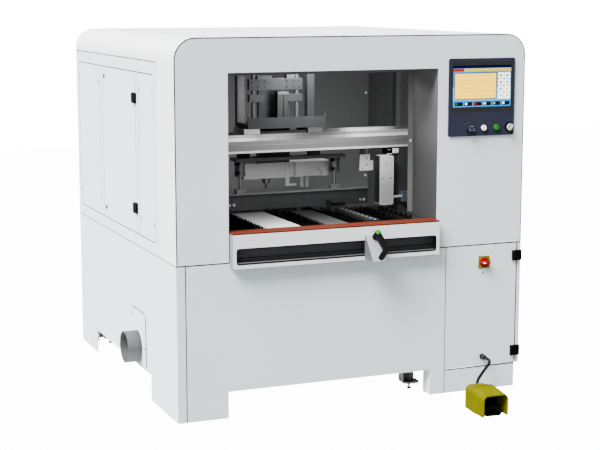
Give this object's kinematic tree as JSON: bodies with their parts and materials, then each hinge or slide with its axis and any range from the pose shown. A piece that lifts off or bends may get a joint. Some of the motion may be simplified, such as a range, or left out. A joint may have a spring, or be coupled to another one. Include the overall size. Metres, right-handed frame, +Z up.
{
  "type": "cnc drilling and milling center",
  "caption": "Enclosed floor-standing CNC drilling and milling machine with a brush table behind a front opening, a gantry tool head, a touch console and a foot switch.",
  "frame": {"origin": "middle of the floor box round the body, the dust outlet and the foot switch, on the floor", "axes": "+X to the operator's right, +Y from the front to the back, +Z up"},
  "size_m": [1.494, 1.794, 1.407],
  "materials": {
    "body_white": "satin powder coat",
    "front_grey": "satin powder coat",
    "bar_white": "satin powder coat",
    "frame_grey": "satin paint",
    "steel": "brushed",
    "duct_grey": "satin paint",
    "switchgear_mix": "matt",
    "hinge_black": "matt",
    "switch_yellow": "satin",
    "switch_red": "satin",
    "gland_black": "matt",
    "console_navy": "satin",
    "screen": "glass like",
    "bezel": "polished",
    "button_white": "satin",
    "button_green": "satin",
    "knob_grey": "matt",
    "strip_red_brown": "satin",
    "lever_black": "matt",
    "bristle_black": "fibrous",
    "slat_aluminium": "satin anodised",
    "stud_black": "matt",
    "dark_metal": "satin",
    "beam_aluminium": "extruded",
    "cylinder_grey": "anodised",
    "pusher_blue_grey": "anodised",
    "presser_dark": "dark anodised",
    "head_grey": "machined",
    "motor_dark": "anodised",
    "tool_steel": "ground",
    "pedal_yellow": "satin",
    "pedal_black": "matt",
    "cable_black": "matt"
  },
  "bodies": {
    "machine": {"base_frame": "frame_grey", "base_left_panel": "body_white", "base_front_panel": "front_grey", "base_rear_panel": "body_white", "base_right_panel": "body_white", "plinth_panels": "body_white", "levelling_brackets": "frame_grey", "levelling_feet": "steel", "dust_spigot": "duct_grey", "electrical_cabinet": "body_white", "switchgear": "switchgear_mix", "hinge_fixed_leaves": "hinge_black", "left_side_frame": "body_white", "fixed_side_panels": "body_white", "right_side_panel": "body_white", "roof_skin": "body_white", "hood_shell": "body_white", "front_panel": "front_grey", "opening_reveal": "front_grey", "rear_panel": "body_white", "console_panel": "console_navy", "touch_screen": "screen", "button_bezels": "bezel", "front_bar": "bar_white", "slide_strip": "strip_red_brown", "table_deck": "frame_grey", "table_brushes": "bristle_black", "table_slats": "slat_aluminium", "guide_studs": "stud_black", "gripper_rail": "steel", "gantry_uprights": "dark_metal", "gantry_beam": "beam_aluminium", "gantry_rails": "steel", "presser_carrier": "dark_metal", "presser_cylinders": "cylinder_grey", "pusher_cylinder": "pusher_blue_grey", "foot_switch_guard": "pedal_yellow", "foot_switch_base": "pedal_black", "foot_cable": "cable_black"},
    "side_door": {"side_door": "body_white", "side_door_leaves": "hinge_black"},
    "cabinet_door": {"cabinet_door": "front_grey", "cabinet_door_leaves": "hinge_black", "switch_plate": "switch_yellow", "cable_gland": "gland_black"},
    "main_switch": {"switch_handle": "switch_red"},
    "emergency_stop": {"estop_button": "switch_red"},
    "white_button": {"white_button": "button_white"},
    "green_button": {"green_button": "button_green"},
    "selector": {"selector_knob": "knob_grey"},
    "clamp": {"clamp_bracket": "bar_white"},
    "clamp_lever": {"clamp_lever": "lever_black"},
    "head": {"head_carriage": "head_grey"},
    "tool_slide": {"tool_slide": "head_grey", "spindle_motor": "motor_dark"},
    "spindle": {"tool_spindle": "tool_steel"},
    "presser": {"presser_bar": "presser_dark"},
    "gripper": {"panel_gripper": "dark_metal"},
    "pusher": {"side_pusher": "slat_aluminium"},
    "treadle": {"treadle": "pedal_black"}
  },
  "joints": [
    {"name": "side_door_hinge", "type": "hinge", "parent": "machine", "child": "side_door", "pos_m": [-0.6904, -0.0364, 0.9485], "axis": [0, 0, 1], "range_deg": [0, 110]},
    {"name": "cabinet_door_hinge", "type": "hinge", "parent": "machine", "child": "cabinet_door", "pos_m": [0.727, -0.5424, 0.3405], "axis": [0, 0, 1], "range_deg": [0, 110], "deforming": ["foot_cable"]},
    {"name": "main_switch_turn", "type": "hinge", "parent": "cabinet_door", "child": "main_switch", "pos_m": [0.58, -0.541, 0.516], "axis": [0, 1, 0], "range_deg": [0, 90]},
    {"name": "emergency_stop_press", "type": "slide", "parent": "machine", "child": "emergency_stop", "axis": [0, 1, 0], "range_m": [0, 0.005]},
    {"name": "white_button_press", "type": "slide", "parent": "machine", "child": "white_button", "axis": [0, 1, 0], "range_m": [0, 0.003], "stiffness_N_per_m": 600, "springref_m": -0.001},
    {"name": "green_button_press", "type": "slide", "parent": "machine", "child": "green_button", "axis": [0, 1, 0], "range_m": [0, 0.003], "stiffness_N_per_m": 600, "springref_m": -0.001},
    {"name": "selector_turn", "type": "hinge", "parent": "machine", "child": "selector", "pos_m": [0.675, -0.543, 1.047], "axis": [0, 1, 0], "range_deg": [-45, 45]},
    {"name": "clamp_slide", "type": "slide", "parent": "machine", "child": "clamp", "axis": [1, 0, 0], "range_m": [-0.5, 0.23]},
    {"name": "clamp_lever_turn", "type": "hinge", "parent": "clamp", "child": "clamp_lever", "pos_m": [0.08, -0.58755, 0.652], "axis": [0, 0.7879, -0.6158], "range_deg": [-60, 30]},
    {"name": "head_traverse", "type": "slide", "parent": "machine", "child": "head", "axis": [1, 0, 0], "range_m": [-0.33, 0.58]},
    {"name": "tool_height", "type": "slide", "parent": "head", "child": "tool_slide", "axis": [0, 0, 1], "range_m": [-0.068, 0.03]},
    {"name": "spindle_spin", "type": "hinge", "parent": "tool_slide", "child": "spindle", "pos_m": [-0.128, 0.008, 0.826], "axis": [0, 0, 1], "continuous": true},
    {"name": "presser_lift", "type": "slide", "parent": "machine", "child": "presser", "axis": [0, 0, 1], "range_m": [0, 0.05]},
    {"name": "gripper_run", "type": "slide", "parent": "machine", "child": "gripper", "axis": [0, 1, 0], "range_m": [-0.32, 0]},
    {"name": "pusher_stroke", "type": "slide", "parent": "machine", "child": "pusher", "axis": [-1, 0, 0], "range_m": [0, 0.045]},
    {"name": "treadle_press", "type": "hinge", "parent": "machine", "child": "treadle", "pos_m": [0.44, -0.816, 0.042], "axis": [1, 0, 0], "range_deg": [0, 11], "stiffness_Nm_per_rad": 3, "springref_deg": -6.88}
  ]
}
